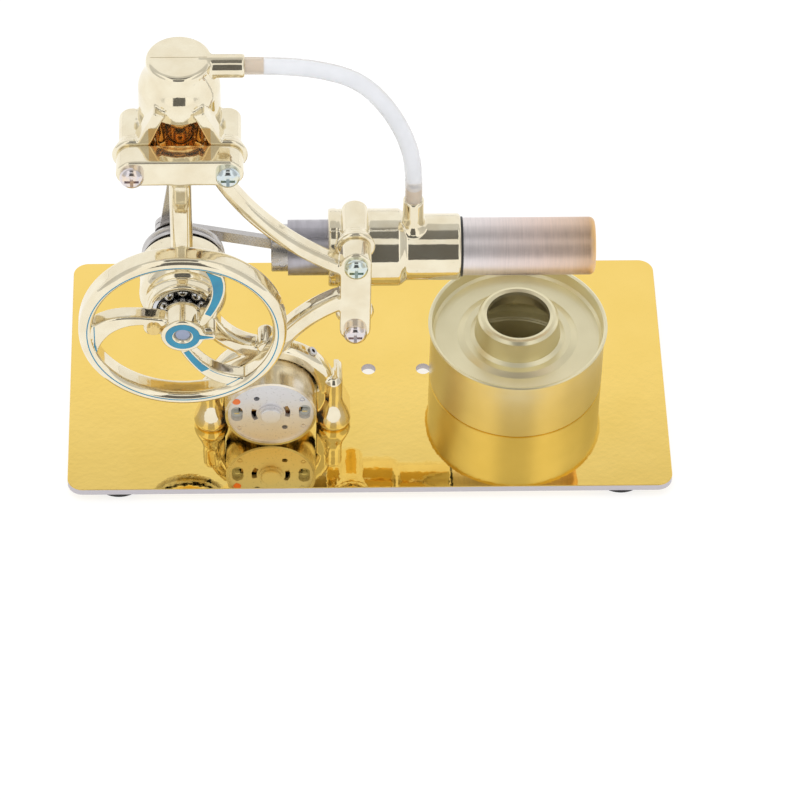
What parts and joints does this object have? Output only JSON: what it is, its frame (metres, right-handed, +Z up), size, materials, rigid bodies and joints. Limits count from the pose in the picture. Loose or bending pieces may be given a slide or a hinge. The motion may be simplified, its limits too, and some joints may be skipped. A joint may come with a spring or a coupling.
{
  "type": "tabletop hot air engine",
  "caption": "Tabletop hot-air engine with an upright power cylinder, a lying displacer cylinder, a spoked flywheel, a generator motor and a spirit burner on a flat plate.",
  "frame": {"origin": "under the middle of the base plate, at the bottom of the rubber feet", "axes": "+X along the base plate from the flywheel to the burner, +Y to the back, away from the flywheel, +Z up"},
  "size_m": [0.195, 0.1014, 0.148],
  "materials": {
    "mirror_gold": "mirror gold plate with bare cut edges",
    "plated_casting": "bright champagne gold plating on a polished casting",
    "rubber": "matt black rubber",
    "zinc_screw": "zinc plated pan head, faintly coloured",
    "bearing_steel": "ground and polished bearing steel",
    "black_cage": "black moulded plastic",
    "turned_steel": "turned grey steel",
    "tube_steel": "dark satin steel tube",
    "beige_nylon": "translucent beige tube",
    "hot_steel": "heat tinted stainless steel, lavender to brown",
    "black_seal": "black sealing ring",
    "silicone": "milky translucent silicone",
    "enamel": "blue enamel",
    "motor_can_steel": "bright plated drawn steel",
    "motor_zinc": "pale grey plated end cap",
    "orange_mark": "orange paint dot",
    "terminal_tin": "tinned terminal",
    "grey_plastic": "grey moulded brush holder",
    "copper": "enamelled copper wire",
    "laminated_steel": "laminated steel",
    "ferrite": "ferrite magnet",
    "bronze": "sintered bronze",
    "brass": "turned brass",
    "white_plastic": "moulded plastic pulley",
    "burner_tin": "satin lacquered tin"
  },
  "bodies": {
    "engine_base": {"base_plate": "mirror_gold", "rubber_feet": "rubber", "frame_casting": "plated_casting", "motor_clamp_screw": "turned_steel", "frame_screws": "zinc_screw", "bearing_outer_rings": "bearing_steel", "power_cylinder": "plated_casting", "power_liner": "tube_steel", "power_spigot": "beige_nylon", "power_bracket_screws": "zinc_screw", "displacer_cylinder": "plated_casting", "displacer_liner": "tube_steel", "displacer_gland": "brass", "displacer_spigot": "beige_nylon", "displacer_bracket_screws": "zinc_screw", "hot_cap_seal": "black_seal", "hot_cap": "hot_steel", "silicone_hose": "silicone", "motor_can": "motor_can_steel", "motor_end_cap": "motor_zinc", "motor_mark": "orange_mark", "motor_terminals": "terminal_tin", "motor_brush_holder": "grey_plastic", "motor_brushes": "bronze", "motor_bushes": "bronze", "motor_magnets": "ferrite"},
    "crankshaft": {"main_shaft": "turned_steel", "flywheel_spacer": "brass", "bearing_spacer": "turned_steel", "bearing_inner_rings": "bearing_steel", "flywheel": "plated_casting", "flywheel_enamel": "enamel", "flywheel_screw": "brass", "crank_disc": "turned_steel", "crank_disc_set_screw": "zinc_screw", "crankpin": "turned_steel"},
    "front_ball_set": {"front_bearing_balls": "bearing_steel", "front_bearing_cage": "black_cage"},
    "rear_ball_set": {"rear_bearing_balls": "bearing_steel", "rear_bearing_cage": "black_cage"},
    "power_piston_set": {"power_piston": "turned_steel", "power_wrist_pin": "turned_steel"},
    "power_rod_set": {"power_rod": "turned_steel", "crankpin_middle": "turned_steel"},
    "displacer_slide_set": {"crosshead": "turned_steel", "crosshead_pin": "turned_steel", "displacer_stem": "turned_steel", "displacer_body": "turned_steel", "displacer_plug": "turned_steel"},
    "displacer_rod_set": {"displacer_conrod": "turned_steel", "crankpin_end_screw": "zinc_screw"},
    "motor_rotor": {"motor_shaft": "turned_steel", "motor_armature": "laminated_steel", "motor_windings": "copper", "motor_commutator": "copper", "motor_pulley": "white_plastic"},
    "spirit_burner": {"burner_can": "burner_tin", "burner_lid": "burner_tin"}
  },
  "joints": [
    {"name": "crank_spin", "type": "hinge", "parent": "engine_base", "child": "crankshaft", "pos_m": [-0.0595, 0, 0.065], "axis": [0, 1, 0], "continuous": true},
    {"name": "front_ball_spin", "type": "hinge", "parent": "engine_base", "child": "front_ball_set", "pos_m": [-0.0595, 0, 0.065], "axis": [0, 1, 0], "continuous": true},
    {"name": "rear_ball_spin", "type": "hinge", "parent": "engine_base", "child": "rear_ball_set", "pos_m": [-0.0595, 0, 0.065], "axis": [0, 1, 0], "continuous": true},
    {"name": "power_piston_slide", "type": "slide", "parent": "engine_base", "child": "power_piston_set", "axis": [0, 0, 1], "range_m": [-0.01799, 0.002]},
    {"name": "power_rod_swing", "type": "hinge", "parent": "power_piston_set", "child": "power_rod_set", "pos_m": [-0.0595, -0.0014, 0.11099], "axis": [0, 1, 0], "range_deg": [-23.5, 7]},
    {"name": "displacer_slide", "type": "slide", "parent": "engine_base", "child": "displacer_slide_set", "axis": [1, 0, 0], "range_m": [-0.0036, 0.01638]},
    {"name": "displacer_rod_swing", "type": "hinge", "parent": "displacer_slide_set", "child": "displacer_rod_set", "pos_m": [-0.02788, 0.0008, 0.065], "axis": [0, 1, 0], "range_deg": [-28, 2.5]},
    {"name": "rotor_spin", "type": "hinge", "parent": "engine_base", "child": "motor_rotor", "pos_m": [-0.032, 0, 0.0203], "axis": [0, 1, 0], "continuous": true},
    {"name": "burner_slide", "type": "slide", "parent": "engine_base", "child": "spirit_burner", "axis": [0, -1, 0], "range_m": [0, 0.02]}
  ],
  "couplings": [
    {"joint": "front_ball_spin", "follows": "crank_spin", "ratio": 0.34274},
    {"joint": "rear_ball_spin", "follows": "crank_spin", "ratio": 0.34274}
  ]
}
